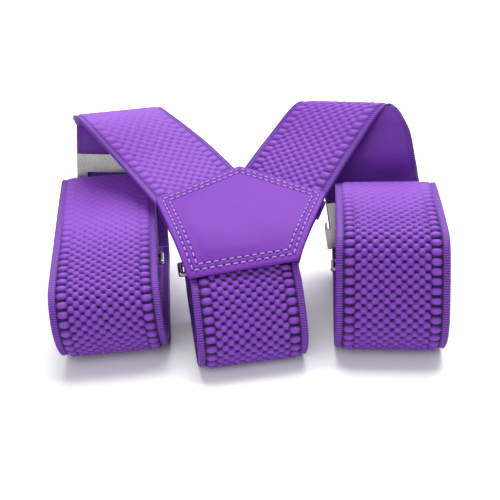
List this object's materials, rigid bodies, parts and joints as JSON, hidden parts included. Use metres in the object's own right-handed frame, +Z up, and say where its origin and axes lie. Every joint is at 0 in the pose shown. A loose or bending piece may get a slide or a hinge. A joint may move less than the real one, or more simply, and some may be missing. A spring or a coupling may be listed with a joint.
{
  "type": "trouser braces",
  "caption": "Y-back elastic trouser braces with a leather patch, sliding adjusters and spring clips, rolled up for display.",
  "frame": {"origin": "centre of the footprint on the rest plane", "axes": "+X across the braces from the left strap to the right strap, +Y from the front of the rolls to the back of the arches, +Z up"},
  "size_m": [0.141, 0.1, 0.065],
  "materials": {
    "webbing": "bubble weave elastic",
    "patch_leather": "fine grain, matt",
    "thread": "polyester sewing thread",
    "nickel_hardware": "nickel plated",
    "jaw_rubber": "matt"
  },
  "bodies": {
    "root": {"patch_top": "patch_leather", "patch_lining": "patch_leather", "patch_stitching": "thread", "left_strap": "webbing", "right_strap": "webbing", "back_strap": "webbing", "left_end_stitching": "thread", "right_end_stitching": "thread", "back_end_stitching": "thread"},
    "left_adjuster": {"left_adjuster_frame": "nickel_hardware", "left_adjuster_pin": "nickel_hardware"},
    "left_adjuster_lever": {"left_adjuster_lever": "nickel_hardware"},
    "right_adjuster": {"right_adjuster_frame": "nickel_hardware", "right_adjuster_pin": "nickel_hardware"},
    "right_adjuster_lever": {"right_adjuster_lever": "nickel_hardware"},
    "left_wire_loop": {"left_wire_loop": "nickel_hardware"},
    "left_clip": {"left_clip_base": "nickel_hardware", "left_clip_pin": "nickel_hardware", "left_base_pad": "jaw_rubber"},
    "left_clip_lever": {"left_clip_lever": "nickel_hardware", "left_lever_pad": "jaw_rubber"},
    "right_wire_loop": {"right_wire_loop": "nickel_hardware"},
    "right_clip": {"right_clip_base": "nickel_hardware", "right_clip_pin": "nickel_hardware", "right_base_pad": "jaw_rubber"},
    "right_clip_lever": {"right_clip_lever": "nickel_hardware", "right_lever_pad": "jaw_rubber"},
    "back_wire_loop": {"back_wire_loop": "nickel_hardware"},
    "back_clip": {"back_clip_base": "nickel_hardware", "back_clip_pin": "nickel_hardware", "back_base_pad": "jaw_rubber"},
    "back_clip_lever": {"back_clip_lever": "nickel_hardware", "back_lever_pad": "jaw_rubber"}
  },
  "joints": [
    {"name": "left_adjuster_slide", "type": "slide", "parent": "root", "child": "left_adjuster", "axis": [0.084, 0.2648, 0.9606], "range_m": [0, 0.003]},
    {"name": "left_adjuster_lever_hinge", "type": "hinge", "parent": "left_adjuster", "child": "left_adjuster_lever", "pos_m": [-0.04829, 0.04394, 0.02738], "axis": [-0.9936, -0.0511, 0.101], "range_deg": [0, 70]},
    {"name": "right_adjuster_slide", "type": "slide", "parent": "root", "child": "right_adjuster", "axis": [-0.1229, 0.1525, 0.9806], "range_m": [0, 0.003]},
    {"name": "right_adjuster_lever_hinge", "type": "hinge", "parent": "right_adjuster", "child": "right_adjuster_lever", "pos_m": [0.05057, 0.01881, 0.01614], "axis": [-0.9863, 0.0911, -0.1378], "range_deg": [0, 70]},
    {"name": "left_loop_swing", "type": "hinge", "parent": "root", "child": "left_wire_loop", "pos_m": [-0.05108, 0.01786, 0.00918], "axis": [-0.9969, -0.0785, 0], "range_deg": [0, 5]},
    {"name": "left_clip_swing", "type": "hinge", "parent": "left_wire_loop", "child": "left_clip", "pos_m": [-0.05057, 0.01138, 0.00918], "axis": [-0.9969, -0.0785, 0], "range_deg": [0, 6]},
    {"name": "left_clip_lever_hinge", "type": "hinge", "parent": "left_clip", "child": "left_clip_lever", "pos_m": [-0.04943, -0.00307, 0.01178], "axis": [0.9969, 0.0785, 0], "range_deg": [0, 70]},
    {"name": "right_loop_swing", "type": "hinge", "parent": "root", "child": "right_wire_loop", "pos_m": [0.05093, 0.00317, 0.00987], "axis": [-0.9938, 0.1115, 0], "range_deg": [0, 5]},
    {"name": "right_clip_swing", "type": "hinge", "parent": "right_wire_loop", "child": "right_clip", "pos_m": [0.0502, -0.00329, 0.01009], "axis": [-0.9938, 0.1115, 0], "range_deg": [0, 6]},
    {"name": "right_clip_lever_hinge", "type": "hinge", "parent": "right_clip", "child": "right_clip_lever", "pos_m": [0.0486, -0.0176, 0.0132], "axis": [0.9938, -0.1115, 0], "range_deg": [0, 70]},
    {"name": "back_loop_swing", "type": "hinge", "parent": "root", "child": "back_wire_loop", "pos_m": [-0.004, -0.00931, 0.02107], "axis": [0.9925, 0.1219, 0], "range_deg": [0, 3]},
    {"name": "back_clip_swing", "type": "hinge", "parent": "back_wire_loop", "child": "back_clip", "pos_m": [-0.0032, -0.01576, 0.0209], "axis": [0.9925, 0.1219, 0], "range_deg": [0, 4]},
    {"name": "back_clip_lever_hinge", "type": "hinge", "parent": "back_clip", "child": "back_clip_lever", "pos_m": [-0.00145, -0.03008, 0.01792], "axis": [-0.9925, -0.1219, 0], "range_deg": [0, 60]}
  ]
}
